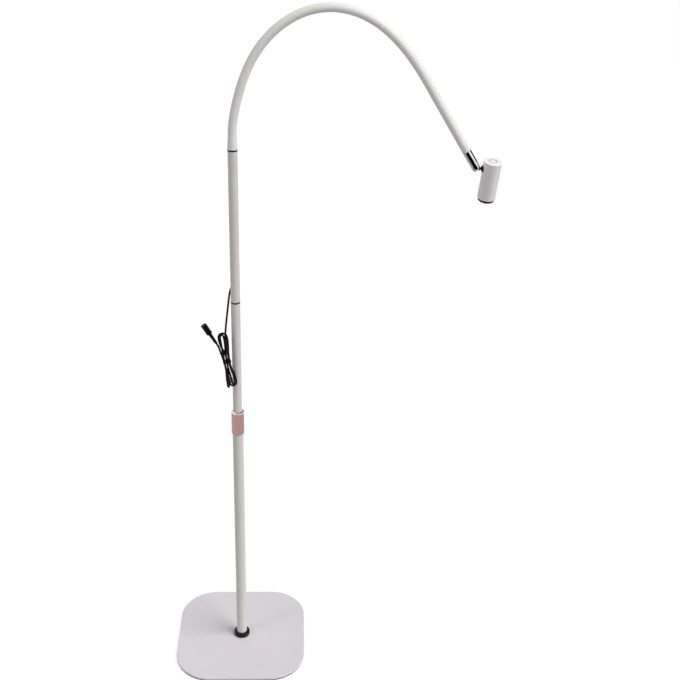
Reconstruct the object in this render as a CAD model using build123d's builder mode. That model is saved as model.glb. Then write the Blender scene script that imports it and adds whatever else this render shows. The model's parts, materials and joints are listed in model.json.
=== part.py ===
"""Floor-standing LED curing lamp: weighted base, telescopic pole, gooseneck arm and aimed head.

Millimetres. The origin is on the floor, on the pole's axis. +Z is up and the arm reaches over +X.
"""

import math
import os

from build123d import *

os.makedirs("parts", exist_ok=True)

# Clearances, all radial or end to end
press_clearance = 0.05
running_clearance = 0.08
loose_clearance = 0.3
cut_overrun = 1.0
straight_tolerance = 1e-6

# Base
base_side = 280.0
base_corner_radius = 78.0
plate_thickness = 4.5
plate_edge_radius = 1.6
pad_thickness = 3.5
pad_inset = 1.0
foot_bolt_diameter = 8.0
foot_bolt_head_diameter = 16.0
foot_bolt_grip = 20.0
pole_plug_height = 30.0
foot_collar_diameter = 34.5
foot_collar_height = 9.0
foot_collar_edge_radius = 3.0

# Lower tube and twist lock
lower_tube_diameter = 22.0
lower_tube_wall = 1.0
lower_tube_length = 558.0
clamp_sleeve_wall = 0.7
clamp_sleeve_height = 24.0
clamp_sleeve_drop = 1.0
collet_sleeve_length = 40.0
collet_flange_height = 3.0
collet_finger_height = 14.0
collet_finger_foot = 1.8
collet_finger_tip = 0.8
collet_slot_width = 1.2
collet_slot_count = 4
twist_collar_wall = 1.0
twist_collar_height = 52.5
twist_collar_overlap = 26.5
twist_collar_shoulder_radius = 3.0
twist_collar_foot_chamfer = 0.8

# Upper pole
mast_diameter = 18.0
mast_wall = 1.0
mast_insertion = 214.0
mast_lower_length = 478.0
mast_upper_length = 295.0
guide_plug_height = 20.0
guide_plug_spigot = 25.0
guide_plug_bore_diameter = 8.0
joint_ring_height = 3.0
joint_ring_lip = 0.2
coupler_below = 20.0
coupler_above = 13.0
coupler_wall = 3.0
neck_stud_diameter = 12.0
neck_stud_length = 12.0

# Gooseneck
neck_root_height = 22.0
neck_root_straight = 5.0
neck_spigot_height = 8.0
neck_diameter = 16.0
neck_wall = 1.7
neck_link_length = 41.0
neck_last_length = 166.0
neck_link_diameter = 8.4
neck_link_bore_diameter = 5.4
neck_knuckle_diameter = 9.0
neck_link_clearance = 0.2
neck_bend_angle = 147.4
neck_bend_shares = (
    *(0.075, 0.035, 0.050, 0.075, 0.085, 0.095, 0.115),
    *(0.122, 0.112, 0.092, 0.069, 0.045, 0.030),
)
wire_diameter = 2.0
wire_joint_radius = 12.0
wire_turn_radius = 5.0

# Swivel cup and ball at the end of the gooseneck
tip_spigot_length = 14.0
swivel_journal_diameter = 10.0
swivel_journal_length = 14.0
swivel_groove_depth = 0.8
swivel_groove_width = 2.6
swivel_groove_height = 8.0
swivel_screw_diameter = 2.0
cup_diameter = 16.0
cup_length = 42.5
cup_end_diameter = 11.2
cup_end_taper = 6.5
cup_web = 2.0
cup_mouth_diameter = 7.8
ball_diameter = 10.8
ball_depth = 5.5
ball_clearance = 0.2
pad_seat_clearance = 0.1
pad_grip = 2.0
spring_disc_count = 4
spring_disc_width = 1.0
spring_disc_hole_diameter = 4.0
stud_diameter = 5.0
stud_ball_grip = 1.5

# Head
head_tilt = 2.9
head_lean = 11.0
head_diameter = 33.6
head_wall = 2.0
head_shelf = 1.5
housing_length = 70.5
stud_to_housing_top = 12.0
ball_to_head_axis = 28.4
saddle_gap = 8.8
saddle_tip_diameter = 6.8
saddle_foot_diameter = 14.0
nut_across_flats = 8.0
nut_height = 3.0
cap_height = 4.0
cap_edge_radius = 1.2
cap_spigot = 4.0
cap_lip_height = 3.7
button_diameter = 16.5
button_gap = 0.2
button_flange = 1.4
button_flange_height = 1.2
button_sink = 0.1
button_post_diameter = 3.2
button_travel = 0.8
board_thickness = 1.6
switch_side = 6.0
switch_height = 1.6
switch_plunger_diameter = 3.4
switch_plunger_height = 0.8
led_board_thickness = 2.0
led_board_depth = 44.5
led_side = 5.0
led_height = 1.0
led_dome_diameter = 3.6
reflector_mouth_diameter = 25.2
reflector_neck_diameter = 8.4
reflector_height = 16.0
reflector_wall = 0.8
reflector_flange_height = 1.0
lens_thickness = 2.0
bezel_height = 5.6
bezel_setback = 1.2
bezel_opening_diameter = 24.4
bezel_mouth_chamfer = 1.4

# Cord, its hank and the inline socket
cord_diameter = 4.0
cord_radius_share = 0.45
gland_azimuth = 105.0
gland_height_above_joint = 24.0
gland_diameter = 6.8
gland_flange_diameter = 10.0
gland_reach = 3.0
gland_tail = 2.0
hank_waist_x = -17.5
hank_waist_y = -17.5
hank_drop = 146.0
hank_lean_x_share = -0.14
hank_lean_y_share = 0.035
strand_gap = 0.6
hank_width = 20.0
hank_half_length = 59.0
# Waist places of the six strands, as shares of the strand pitch, in the order that the cord runs
strand_across_shares = (1, -1, 0, 1, 0, -1)
strand_deep_shares = (0.5, 0.5, 0.5, -0.5, -0.5, -0.5)
# Each loop end: right side, left side and tip, as shares of the hank's width and half length
loop_right_shares = (0.445, 0.15, 0.30, 0.40, -0.17)
loop_left_shares = (-0.26, -0.55, -0.03, -0.325, -0.47)
loop_tip_shares = (0.90, 1.04, 0.70, 0.98, 0.95)
# Where the cord joins and leaves the hank, as shares of its half length and of the strand pitch
hank_head_along_share = 0.72
hank_head_across_share = 1.15
hank_head_deep_share = 1.7
hank_tail_along_share = 0.20
hank_tail_across_share = -1.3
hank_sample_spacing = 1.5
lead_exit_run = 7.5
lead_entry_run = 12.0
tail_run = 8.0
tie_height = 4.0
tie_wall = 0.9
tie_gap = 0.35
socket_lean_share = -0.6
socket_neck_length = 21.0
socket_neck_diameter = 7.0
socket_body_length = 24.0
socket_body_diameter = 11.6
socket_shoulder = 2.0
socket_bore_diameter = 5.6
socket_bore_depth = 10.0
socket_pin_diameter = 2.0
socket_pin_recess = 1.0

# Levels up the pole
plate_top = pad_thickness + plate_thickness
lower_tube_top = plate_top + lower_tube_length
collar_bottom = lower_tube_top - twist_collar_overlap
collar_top = collar_bottom + twist_collar_height
mast_bottom = lower_tube_top - mast_insertion
lower_joint = mast_bottom + mast_lower_length
lower_joint_top = lower_joint + joint_ring_height
upper_joint = lower_joint_top + mast_upper_length
upper_joint_top = upper_joint + joint_ring_height
neck_root_top = upper_joint_top + neck_root_height

# Radii that several pieces share
lower_radius = lower_tube_diameter / 2
lower_bore_radius = lower_radius - lower_tube_wall
mast_radius = mast_diameter / 2
mast_bore_radius = mast_radius - mast_wall
coupler_radius = mast_bore_radius - press_clearance
neck_radius = neck_diameter / 2
neck_bore_radius = neck_radius - neck_wall
link_radius = neck_link_diameter / 2
link_bore_radius = neck_link_bore_diameter / 2
knuckle_radius = neck_knuckle_diameter / 2
ball_radius = ball_diameter / 2
stud_radius = stud_diameter / 2
stud_hole_radius = stud_radius + press_clearance
head_radius = head_diameter / 2
head_bore_radius = head_radius - head_wall
head_shelf_radius = head_bore_radius - head_shelf
head_fit_radius = head_bore_radius - press_clearance
cord_radius = cord_diameter / 2


def save(piece, name):
    """Label one finished piece and write it as its own file."""
    piece.part.label = name
    export_step(piece.part, f"parts/{name}.step")


def section_plane(origin, radial, along):
    """Plane whose x runs along a radius and whose y runs along an axis."""
    return Plane(origin=origin, x_dir=radial, z_dir=radial.cross(along))


def turned(plane, outline, mode=Mode.ADD):
    """Turn a closed outline of (radius, height) points about the plane's y axis."""
    with BuildSketch(plane) as profile:
        with BuildLine():
            Polyline(*outline, close=True)
        make_face()
    revolve(profile.sketch, axis=Axis(plane.origin, plane.y_dir), mode=mode)


def tube(bottom, top, outer, inner):
    """Plain upright tube about the pole's axis."""
    with BuildSketch(Plane.XY.offset(bottom)) as ring:
        Circle(outer)
        Circle(inner, mode=Mode.SUBTRACT)
    extrude(ring.sketch, amount=top - bottom)


def round_bar(plane, radius, start, end, mode=Mode.ADD):
    """Cylinder along a plane's normal, from one distance to another."""
    with BuildSketch(plane.offset(start)) as disc:
        Circle(radius)
    extrude(disc.sketch, amount=end - start, mode=mode)


# Base: pad, plate, bolt, plug and foot collar
with BuildPart() as base_pad:
    with BuildSketch():
        pad_side = base_side - 2 * pad_inset
        RectangleRounded(pad_side, pad_side, base_corner_radius - pad_inset)
    extrude(amount=pad_thickness)

bolt_radius = foot_bolt_diameter / 2
bolt_head_radius = foot_bolt_head_diameter / 2
with BuildPart() as base_plate:
    with BuildSketch(Plane.XY.offset(pad_thickness)):
        RectangleRounded(base_side, base_side, base_corner_radius)
    extrude(amount=plate_thickness)
    fillet(base_plate.edges().group_by(Axis.Z)[-1], plate_edge_radius)
    with Locations(Location((0, 0, pad_thickness), (180, 0, 0))):
        CounterSinkHole(
            bolt_radius + press_clearance,
            bolt_head_radius + press_clearance,
            counter_sink_angle=90,
        )

with BuildPart() as foot_bolt:
    turned(
        Plane.XZ,
        (
            (0, pad_thickness),
            (bolt_head_radius, pad_thickness),
            (bolt_radius, pad_thickness + bolt_head_radius - bolt_radius),
            (bolt_radius, plate_top + foot_bolt_grip),
            (0, plate_top + foot_bolt_grip),
        ),
    )

with BuildPart() as pole_plug:
    tube(
        plate_top,
        plate_top + pole_plug_height,
        lower_bore_radius - press_clearance,
        bolt_radius + press_clearance,
    )

with BuildPart() as foot_collar:
    tube(plate_top, plate_top + foot_collar_height, foot_collar_diameter / 2, lower_radius + press_clearance)
    fillet(foot_collar.edges().group_by(Axis.Z)[-1].sort_by(SortBy.RADIUS)[-1], foot_collar_edge_radius)

# Lower tube, with the clamp sleeve outside its top and the split collet inside it
with BuildPart() as lower_tube:
    tube(plate_top, lower_tube_top, lower_radius, lower_bore_radius)

clamp_sleeve_radius = lower_radius + press_clearance + clamp_sleeve_wall
clamp_sleeve_top = lower_tube_top - clamp_sleeve_drop
with BuildPart() as clamp_sleeve:
    tube(
        clamp_sleeve_top - clamp_sleeve_height,
        clamp_sleeve_top,
        clamp_sleeve_radius,
        lower_radius + press_clearance,
    )

collet_bore_radius = mast_radius + running_clearance
collet_flange_top = lower_tube_top + collet_flange_height
collet_top = collet_flange_top + collet_finger_height
with BuildPart() as clamp_collet:
    turned(
        Plane.XZ,
        (
            (collet_bore_radius, lower_tube_top - collet_sleeve_length),
            (lower_bore_radius - press_clearance, lower_tube_top - collet_sleeve_length),
            (lower_bore_radius - press_clearance, lower_tube_top),
            (lower_radius, lower_tube_top),
            (lower_radius, collet_flange_top),
            (collet_bore_radius + collet_finger_foot, collet_flange_top),
            (collet_bore_radius + collet_finger_tip, collet_top),
            (collet_bore_radius, collet_top),
        ),
    )
    with BuildSketch(Plane.XY.offset(collet_flange_top)):
        with PolarLocations(0, collet_slot_count, angular_range=180):
            Rectangle(lower_tube_diameter, collet_slot_width)
    extrude(amount=collet_finger_height + cut_overrun, mode=Mode.SUBTRACT)

# Twist collar: bored over the clamp sleeve, coned over the collet's fingers
collar_bore_radius = clamp_sleeve_radius + running_clearance
collar_radius = collar_bore_radius + twist_collar_wall
collar_mouth_radius = mast_radius + loose_clearance
collar_cone_foot = collet_flange_top + loose_clearance
collar_cone_top = collet_top + loose_clearance
with BuildPart() as twist_collar:
    turned(
        Plane.XZ,
        (
            (collar_bore_radius, collar_bottom),
            (collar_radius, collar_bottom),
            (collar_radius, collar_top),
            (collar_mouth_radius, collar_top),
            (collar_mouth_radius, collar_cone_top),
            (collet_bore_radius + collet_finger_tip + loose_clearance, collar_cone_top),
            (collet_bore_radius + collet_finger_foot + loose_clearance, collar_cone_foot),
            (collar_bore_radius, collar_cone_foot),
        ),
    )
    fillet(
        twist_collar.edges().group_by(Axis.Z)[-1].sort_by(SortBy.RADIUS)[-1],
        twist_collar_shoulder_radius,
    )
    chamfer(
        twist_collar.edges().group_by(Axis.Z)[0].sort_by(SortBy.RADIUS)[-1],
        twist_collar_foot_chamfer,
    )

# Guide plug: runs in the lower tube and carries the foot of the upper pole
with BuildPart() as guide_plug:
    tube(
        mast_bottom - guide_plug_height,
        mast_bottom,
        lower_bore_radius - running_clearance,
        guide_plug_bore_diameter / 2,
    )
    tube(
        mast_bottom,
        mast_bottom + guide_plug_spigot,
        mast_bore_radius - running_clearance,
        guide_plug_bore_diameter / 2,
    )

# Upper pole: two tubes, a coupler and a ring at each joint
gland_level = lower_joint_top + gland_height_above_joint
gland_angle = math.radians(gland_azimuth)
gland_direction = Vector(math.cos(gland_angle), math.sin(gland_angle), 0)
gland_plane = Plane(origin=(0, 0, gland_level), x_dir=(0, 0, 1), z_dir=gland_direction)

with BuildPart() as mast_tube_lower:
    tube(mast_bottom, lower_joint, mast_radius, mast_bore_radius)

with BuildPart() as mast_tube_upper:
    tube(lower_joint_top, upper_joint, mast_radius, mast_bore_radius)
    round_bar(gland_plane, gland_diameter / 2 + press_clearance, 0, mast_diameter, Mode.SUBTRACT)

ring_radius = mast_radius + joint_ring_lip
with BuildPart() as joint_ring_lower:
    tube(lower_joint, lower_joint_top, ring_radius, coupler_radius + press_clearance)

with BuildPart() as joint_coupler_lower:
    tube(
        lower_joint - coupler_below,
        lower_joint_top + coupler_above,
        coupler_radius,
        coupler_radius - coupler_wall,
    )

neck_stud_radius = neck_stud_diameter / 2
with BuildPart() as joint_ring_upper:
    tube(upper_joint, upper_joint_top, ring_radius, neck_stud_radius + press_clearance)

with BuildPart() as joint_coupler_upper:
    tube(upper_joint - coupler_below, upper_joint, coupler_radius, link_bore_radius)
    tube(upper_joint, upper_joint_top + neck_stud_length, neck_stud_radius, link_bore_radius)

# Cord gland: a barrel in the tube's side hole, with a flange saddled on the tube
gland_face = mast_radius + gland_reach
with BuildPart() as cord_gland:
    round_bar(gland_plane, gland_flange_diameter / 2, 0, gland_face)
    fillet(cord_gland.faces().sort_by(Axis(gland_plane.origin, gland_direction))[-1].edges(), gland_reach / 2)
    round_bar(
        Plane.XY.offset(gland_level - gland_flange_diameter),
        mast_radius + press_clearance,
        0,
        2 * gland_flange_diameter,
        Mode.SUBTRACT,
    )
    round_bar(gland_plane, gland_diameter / 2, mast_bore_radius - gland_tail, gland_face)

# Gooseneck line: equal chords, each turned from the last by its share of the whole bend
neck_bends = [neck_bend_angle * share / sum(neck_bend_shares) for share in neck_bend_shares]
half_link = neck_link_length / 2
neck_joints = [Vector(0, 0, neck_root_top + half_link)]
neck_headings = [90.0]
for bend in neck_bends:
    neck_headings.append(neck_headings[-1] - bend)
neck_directions = [
    Vector(math.cos(math.radians(heading)), 0, math.sin(math.radians(heading))) for heading in neck_headings
]
for direction in neck_directions[1:-1]:
    neck_joints.append(neck_joints[-1] + direction * neck_link_length)
tip_direction = neck_directions[-1]
tip_point = neck_joints[-1] + tip_direction * neck_last_length
neck_middles = [joint - direction * half_link for joint, direction in zip(neck_joints, neck_directions)]
neck_middles.append(neck_joints[-1] + tip_direction * half_link)


def side_of(direction):
    """Unit vector square to a direction in the arm's own plane."""
    return Vector(-direction.Z, 0, direction.X)


def knuckle(origin, direction, length, with_seat, with_nose):
    """Bored round bar along a direction, with a knuckle seat at its foot and a knuckle nose at its end."""
    bar_plane = Plane(origin=origin, z_dir=direction)
    round_bar(bar_plane, link_radius, 0, length + knuckle_radius)
    side_plane = section_plane(origin, side_of(direction), direction)
    with BuildSketch(side_plane.offset(-neck_knuckle_diameter)) as side_view:
        Rectangle(2 * neck_knuckle_diameter, length, align=(Align.CENTER, Align.MIN))
        if with_nose:
            with Locations((0, length)):
                Circle(knuckle_radius)
        if with_seat:
            Circle(knuckle_radius + neck_link_clearance, mode=Mode.SUBTRACT)
    extrude(side_view.sketch, amount=2 * neck_knuckle_diameter, mode=Mode.INTERSECT)
    round_bar(bar_plane, link_bore_radius, -cut_overrun, length + neck_knuckle_diameter, Mode.SUBTRACT)


# Neck root: tapered ferrule, with a spigot in the sleeve and a knuckle for the first link
with BuildPart() as neck_root:
    knuckle(Vector(0, 0, neck_root_top), Vector(0, 0, 1), half_link, False, True)
    turned(
        Plane.XZ,
        (
            (link_bore_radius, upper_joint_top + neck_stud_length),
            (neck_stud_radius + press_clearance, upper_joint_top + neck_stud_length),
            (neck_stud_radius + press_clearance, upper_joint_top),
            (mast_radius, upper_joint_top),
            (mast_radius, upper_joint_top + neck_root_straight),
            (neck_radius, neck_root_top),
            (neck_bore_radius - loose_clearance, neck_root_top),
            (neck_bore_radius - loose_clearance, neck_root_top + neck_spigot_height),
            (link_bore_radius, neck_root_top + neck_spigot_height),
        ),
    )

# Sleeve: one tube along arcs that touch each chord at its middle
with BuildPart() as neck_sleeve:
    with BuildLine() as neck_line:
        for start, end, direction in zip(neck_middles, neck_middles[1:], neck_directions):
            TangentArc(start, end, tangent=direction)
        Line(neck_middles[-1], tip_point)
    with BuildSketch(Plane.XY.offset(neck_root_top)) as neck_ring:
        Circle(neck_radius)
        Circle(neck_bore_radius, mode=Mode.SUBTRACT)
    sweep(neck_ring.sketch, path=neck_line.wire())

# Links of the steel core
neck_links = []
for joint, direction in zip(neck_joints[:-1], neck_directions[1:]):
    with BuildPart() as neck_link:
        knuckle(joint, direction, neck_link_length, True, True)
    neck_links.append(neck_link)
with BuildPart() as neck_link:
    knuckle(neck_joints[-1], tip_direction, neck_last_length - tip_spigot_length, True, False)
neck_links.append(neck_link)

# Wire: from the gland up the pole and through the links to the tip stud
wire_start = gland_plane.origin + gland_direction * (mast_bore_radius - gland_tail)
wire_end = tip_point - tip_direction * tip_spigot_length
wire_radii = [wire_turn_radius] + [wire_joint_radius] * len(neck_joints)
with BuildPart() as inner_wire:
    with BuildLine() as wire_line:
        FilletPolyline(wire_start, gland_plane.origin, *neck_joints, wire_end, radius=wire_radii)
    with BuildSketch(Plane(origin=wire_start, z_dir=-gland_direction)) as wire_disc:
        Circle(wire_diameter / 2)
    sweep(wire_disc.sketch, path=wire_line.wire())

# Tip stud: crimped in the sleeve's end, with a grooved journal that the cup turns on
tip_section = section_plane(tip_point, side_of(tip_direction), tip_direction)
journal_radius = swivel_journal_diameter / 2
groove_radius = journal_radius - swivel_groove_depth
groove_top = swivel_groove_height + swivel_groove_width
with BuildPart() as tip_stud:
    turned(
        tip_section,
        (
            (0, -tip_spigot_length),
            (neck_bore_radius - press_clearance, -tip_spigot_length),
            (neck_bore_radius - press_clearance, 0),
            (journal_radius, 0),
            (journal_radius, swivel_groove_height),
            (groove_radius, swivel_groove_height),
            (groove_radius, groove_top),
            (journal_radius, groove_top),
            (journal_radius, swivel_journal_length),
            (0, swivel_journal_length),
        ),
    )

# Swivel cup: journal bore above, ball chamber below, slotted down one side for the ball stud
ball_level = cup_length - ball_depth
cup_floor = swivel_journal_length + loose_clearance
chamber_floor = cup_floor + cup_web
chamber_radius = ball_radius + ball_clearance
cup_mouth_radius = cup_mouth_diameter / 2
slot_half_width = stud_radius + loose_clearance
ball_centre = tip_point + tip_direction * ball_level
tip_side = side_of(tip_direction)
with BuildPart() as swivel_cup:
    with BuildSketch(tip_section) as cup_outline:
        with BuildLine():
            outside = Polyline(
                (journal_radius + running_clearance, loose_clearance),
                (cup_diameter / 2, loose_clearance),
                (cup_diameter / 2, cup_length - cup_end_taper),
            )
            RadiusArc(outside @ 1, (cup_end_diameter / 2, cup_length), -cup_end_taper - cup_diameter / 2)
            mouth_level = ball_level + math.sqrt(chamber_radius**2 - cup_mouth_radius**2)
            Polyline(
                (cup_end_diameter / 2, cup_length),
                (cup_mouth_radius, cup_length),
                (cup_mouth_radius, mouth_level),
            )
            RadiusArc((cup_mouth_radius, mouth_level), (chamber_radius, ball_level), chamber_radius)
            Polyline(
                (chamber_radius, ball_level),
                (chamber_radius, chamber_floor),
                (link_bore_radius, chamber_floor),
                (link_bore_radius, cup_floor),
                (journal_radius + running_clearance, cup_floor),
                (journal_radius + running_clearance, loose_clearance),
            )
        make_face()
    revolve(cup_outline.sketch, axis=Axis(tip_point, tip_direction))
    with BuildSketch(Plane(origin=ball_centre, x_dir=tip_direction, z_dir=tip_side)) as cup_slot:
        Circle(slot_half_width)
        Rectangle(cup_length, 2 * slot_half_width, align=(Align.MIN, Align.CENTER))
    extrude(cup_slot.sketch, amount=cup_diameter, mode=Mode.SUBTRACT)
    screw_level = swivel_groove_height + swivel_groove_width / 2
    screw_plane = Plane(origin=tip_point + tip_direction * screw_level, z_dir=-tip_side)
    screw_hole_radius = swivel_screw_diameter / 2 + press_clearance
    round_bar(screw_plane, screw_hole_radius, groove_radius, cup_diameter, Mode.SUBTRACT)

with BuildPart() as swivel_screw:
    round_bar(
        screw_plane,
        swivel_screw_diameter / 2,
        groove_radius + ball_clearance,
        cup_diameter / 2 - ball_clearance,
    )

# Pressure pad and disc springs behind the ball
pad_foot = ball_level - ball_radius - pad_seat_clearance - pad_grip
pad_radius = chamber_radius - running_clearance
with BuildPart() as ball_pad:
    round_bar(
        Plane(origin=tip_point, z_dir=tip_direction),
        pad_radius,
        pad_foot,
        ball_level - ball_radius + pad_grip,
    )
    with Locations(ball_centre):
        Sphere(ball_radius + pad_seat_clearance, mode=Mode.SUBTRACT)

spring_step = (pad_foot - chamber_floor) / spring_disc_count
spring_rims = (pad_radius - spring_disc_width, spring_disc_hole_diameter / 2)
spring_edge = [
    (spring_rims[index % len(spring_rims)], chamber_floor + spring_step * index)
    for index in range(spring_disc_count + 1)
]
with BuildPart() as ball_spring:
    turned(
        tip_section,
        spring_edge + [(radius + spring_disc_width, level) for radius, level in reversed(spring_edge)],
    )

# Head frame: the stud runs square to the head's axis, out of the ball; the head leans towards the front
tilt = math.radians(head_tilt)
lean = math.radians(head_lean)
stud_direction = Vector(math.cos(tilt), 0, -math.sin(tilt))
head_upright = Vector(math.sin(tilt), 0, math.cos(tilt))
head_direction = head_upright * math.cos(lean) - Vector(0, 1, 0) * math.sin(lean)
head_centre = ball_centre + stud_direction * ball_to_head_axis
head_section = section_plane(head_centre, stud_direction, head_direction)
head_plane = Plane(origin=head_centre, x_dir=stud_direction, z_dir=head_direction)
stud_plane = Plane(origin=ball_centre, x_dir=head_direction, z_dir=stud_direction)
stud_section = section_plane(ball_centre, head_direction, stud_direction)
near_wall = ball_to_head_axis - head_radius
nut_corner_radius = nut_across_flats / math.sqrt(3)
nut_seat = ball_to_head_axis - math.sqrt(head_shelf_radius**2 - nut_corner_radius**2) + press_clearance

# Ball, stud, saddle and nut
with BuildPart() as pivot_ball:
    with Locations(ball_centre):
        Sphere(ball_radius)
    round_bar(stud_plane, stud_hole_radius, -stud_ball_grip, ball_diameter, Mode.SUBTRACT)

with BuildPart() as ball_stud:
    round_bar(stud_plane, stud_radius, -stud_ball_grip, nut_seat + nut_height)

with BuildPart() as head_saddle:
    turned(
        stud_section,
        (
            (stud_hole_radius, saddle_gap),
            (saddle_tip_diameter / 2, saddle_gap),
            (saddle_foot_diameter / 2, near_wall),
            (saddle_foot_diameter / 2, near_wall + head_wall),
            (stud_hole_radius, near_wall + head_wall),
        ),
    )
    round_bar(head_plane, head_radius + press_clearance, -head_diameter, head_diameter, Mode.SUBTRACT)

with BuildPart() as stud_nut:
    with BuildSketch(stud_plane.offset(nut_seat)):
        RegularPolygon(nut_corner_radius, 6)
        Circle(stud_hole_radius, mode=Mode.SUBTRACT)
    extrude(amount=nut_height)

# Head levels, measured along its axis from the stud
housing_top = stud_to_housing_top
housing_bottom = housing_top - housing_length
head_top = housing_top + cap_height
board_floor = nut_corner_radius + loose_clearance
board_top = board_floor + board_thickness
plunger_top = board_top + switch_height + switch_plunger_height
led_board_top = housing_top - led_board_depth
led_board_floor = led_board_top - led_board_thickness
reflector_floor = led_board_floor - reflector_height
lens_top = reflector_floor
lens_floor = lens_top - lens_thickness

with BuildPart() as head_housing:
    turned(
        head_section,
        (
            (head_bore_radius, housing_bottom),
            (head_radius, housing_bottom),
            (head_radius, housing_top),
            (head_bore_radius, housing_top),
            (head_bore_radius, board_floor),
            (head_shelf_radius, board_floor),
            (head_shelf_radius, led_board_top),
            (head_bore_radius, led_board_top),
        ),
    )
    round_bar(stud_plane, stud_hole_radius, 0, ball_to_head_axis, Mode.SUBTRACT)

# Top cap and power button
button_radius = button_diameter / 2
button_flange_radius = button_radius + button_flange
cap_lip_floor = head_top - cap_lip_height
button_flange_top = cap_lip_floor - button_sink
button_floor = button_flange_top - button_flange_height
button_post_floor = plunger_top + button_travel + button_sink
cap_recess_radius = button_flange_radius + loose_clearance
with BuildPart() as top_cap:
    turned(
        head_section,
        (
            (button_radius + button_gap, head_top),
            (head_radius, head_top),
            (head_radius, housing_top),
            (head_fit_radius, housing_top),
            (head_fit_radius, housing_top - cap_spigot),
            (cap_recess_radius, housing_top - cap_spigot),
            (cap_recess_radius, cap_lip_floor),
            (button_radius + button_gap, cap_lip_floor),
        ),
    )
    cap_rims = top_cap.edges().filter_by(GeomType.CIRCLE).group_by(Axis(head_centre, head_direction))[-1]
    fillet(cap_rims.sort_by(SortBy.RADIUS)[-1], cap_edge_radius)

with BuildPart() as power_button:
    turned(
        head_section,
        (
            (0, head_top - button_sink),
            (button_radius, head_top - button_sink),
            (button_radius, button_flange_top),
            (button_flange_radius, button_flange_top),
            (button_flange_radius, button_floor),
            (button_post_diameter / 2, button_floor),
            (button_post_diameter / 2, button_post_floor),
            (0, button_post_floor),
        ),
    )

# Control board with its switch
with BuildPart() as control_board:
    round_bar(head_plane, head_fit_radius, board_floor, board_top)

with BuildPart() as tact_switch:
    with BuildSketch(head_plane.offset(board_top)):
        Rectangle(switch_side, switch_side)
    extrude(amount=switch_height)
    round_bar(head_plane, switch_plunger_diameter / 2, board_top + switch_height, plunger_top)

# LED board, LED, reflector, lens and bezel
with BuildPart() as led_board:
    round_bar(head_plane, head_fit_radius, led_board_floor, led_board_top)

led_face = led_board_floor - led_height
with BuildPart() as led_emitter:
    with BuildSketch(head_plane.offset(led_face)):
        Rectangle(led_side, led_side)
    extrude(amount=led_height)
    with BuildSketch(head_section) as led_dome:
        with BuildLine():
            dome = CenterArc((0, led_face), led_dome_diameter / 2, -90, 90)
            Polyline(dome @ 1, (0, led_face), dome @ 0)
        make_face()
    revolve(led_dome.sketch, axis=Axis(head_centre, head_direction))

reflector_neck_radius = reflector_neck_diameter / 2
reflector_mouth_radius = reflector_mouth_diameter / 2
reflector_flange_top = reflector_floor + reflector_flange_height
with BuildPart() as reflector:
    with BuildSketch(head_section) as reflector_outline:
        with BuildLine():
            RadiusArc(
                (reflector_neck_radius, led_board_floor),
                (reflector_mouth_radius, reflector_flange_top),
                2 * reflector_height,
            )
            Polyline(
                (reflector_mouth_radius, reflector_flange_top),
                (reflector_mouth_radius, reflector_floor),
                (head_fit_radius, reflector_floor),
                (head_fit_radius, reflector_flange_top),
                (reflector_mouth_radius + reflector_wall, reflector_flange_top),
            )
            RadiusArc(
                (reflector_mouth_radius + reflector_wall, reflector_flange_top),
                (reflector_neck_radius + reflector_wall, led_board_floor),
                -2 * reflector_height,
            )
            Line(
                (reflector_neck_radius + reflector_wall, led_board_floor),
                (reflector_neck_radius, led_board_floor),
            )
        make_face()
    revolve(reflector_outline.sketch, axis=Axis(head_centre, head_direction))

with BuildPart() as lens:
    round_bar(head_plane, head_fit_radius, lens_floor, lens_top)

bezel_radius = head_radius - bezel_setback
bezel_opening_radius = bezel_opening_diameter / 2
bezel_bottom = housing_bottom - bezel_height
with BuildPart() as lens_bezel:
    turned(
        head_section,
        (
            (bezel_opening_radius, lens_floor),
            (head_fit_radius, lens_floor),
            (head_fit_radius, housing_bottom),
            (bezel_radius, housing_bottom),
            (bezel_radius, bezel_bottom),
            (bezel_opening_radius + bezel_mouth_chamfer, bezel_bottom),
            (bezel_opening_radius, bezel_bottom + bezel_mouth_chamfer),
        ),
    )

# Hank: six strands in two layers of three, drawn in at the waist, loops wider at both ends
strand_pitch = cord_diameter + strand_gap
hank_waist = Vector(hank_waist_x, hank_waist_y, gland_level - hank_drop)
hank_axis = Vector(hank_lean_x_share, hank_lean_y_share, 1).normalized()
hank_across = hank_axis.cross(Vector(0, -1, 0)).normalized()
hank_plane = Plane(origin=hank_waist, x_dir=hank_across, z_dir=hank_across.cross(hank_axis))


def hank_node(across, along, deep, across_run, along_run):
    """One point of the cord in the hank, with the way that the cord runs there."""
    place = hank_plane.from_local_coords(Vector(across, along, deep))
    run = hank_plane.from_local_coords(Vector(across_run, along_run, 0)) - hank_plane.origin
    return place, run.normalized()


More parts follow.
